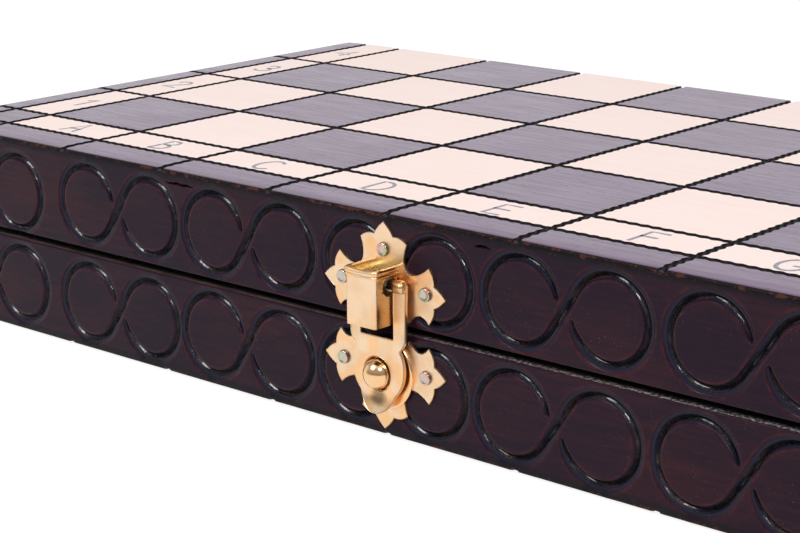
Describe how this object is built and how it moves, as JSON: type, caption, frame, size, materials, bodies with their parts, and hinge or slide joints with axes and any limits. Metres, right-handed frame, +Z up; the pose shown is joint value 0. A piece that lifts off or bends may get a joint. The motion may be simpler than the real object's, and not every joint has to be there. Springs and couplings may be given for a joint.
{
  "type": "folding chess set",
  "caption": "Folding wooden chess box whose two hinged trays open into the board, with a brass clasp and turned chessmen lying in fitted inserts.",
  "frame": {"origin": "bottom centre of the closed box: Z = 0 on the lower playing face, X = 0 through the clasp, Y halfway between the clasp's front and the hinge knuckles' back", "axes": "+X along the long side from file A to file H of the upper face, +Y from the clasp to the hinges, +Z up"},
  "size_m": [0.359, 0.1904, 0.054],
  "materials": {
    "stained_wood": "satin varnish over dark stain",
    "board_face": "satin varnish, light and dark squares between black grooves",
    "felt": "flocked felt",
    "brass": "bright pressed sheet",
    "steel": "plated",
    "light_wood": "satin varnish on maple",
    "dark_wood": "satin varnish on walnut stain"
  },
  "bodies": {
    "lower_half": {"clasp_ball_stud": "brass", "clasp_lower_plate": "brass", "dark_bishop_1": "dark_wood", "dark_bishop_2": "dark_wood", "dark_king": "dark_wood", "dark_knight_1": "dark_wood", "dark_knight_2": "dark_wood", "dark_pawn_1": "dark_wood", "dark_pawn_2": "dark_wood", "dark_pawn_3": "dark_wood", "dark_pawn_4": "dark_wood", "dark_pawn_5": "dark_wood", "dark_pawn_6": "dark_wood", "dark_pawn_7": "dark_wood", "dark_pawn_8": "dark_wood", "dark_queen": "dark_wood", "dark_rook_1": "dark_wood", "dark_rook_2": "dark_wood", "left_hinge_lower_leaf": "brass", "left_hinge_pin": "steel", "lower_fold_rail": "stained_wood", "lower_front_rail": "stained_wood", "lower_insert": "felt", "lower_left_rail": "stained_wood", "lower_panel": "board_face", "lower_plate_nail_left": "steel", "lower_plate_nail_right": "steel", "lower_right_rail": "stained_wood", "right_hinge_lower_leaf": "brass", "right_hinge_pin": "steel"},
    "upper_half": {"clasp_upper_plate": "brass", "left_hinge_upper_leaf": "brass", "light_bishop_1": "light_wood", "light_bishop_2": "light_wood", "light_king": "light_wood", "light_knight_1": "light_wood", "light_knight_2": "light_wood", "light_pawn_1": "light_wood", "light_pawn_2": "light_wood", "light_pawn_3": "light_wood", "light_pawn_4": "light_wood", "light_pawn_5": "light_wood", "light_pawn_6": "light_wood", "light_pawn_7": "light_wood", "light_pawn_8": "light_wood", "light_queen": "light_wood", "light_rook_1": "light_wood", "light_rook_2": "light_wood", "right_hinge_upper_leaf": "brass", "upper_fold_rail": "stained_wood", "upper_front_rail": "stained_wood", "upper_insert": "felt", "upper_left_rail": "stained_wood", "upper_panel": "board_face", "upper_plate_nail_centre": "steel", "upper_plate_nail_left": "steel", "upper_plate_nail_right": "steel", "upper_right_rail": "stained_wood"},
    "hasp": {"clasp_hasp": "brass"}
  },
  "joints": [
    {"name": "board_fold", "type": "hinge", "parent": "lower_half", "child": "upper_half", "pos_m": [0, 0.09295, 0.027], "axis": [-1, 0, 0], "range_deg": [0, 180]},
    {"name": "hasp_swing", "type": "hinge", "parent": "upper_half", "child": "hasp", "pos_m": [0, -0.08945, 0.038], "axis": [-1, 0, 0], "range_deg": [0, 180]}
  ]
}
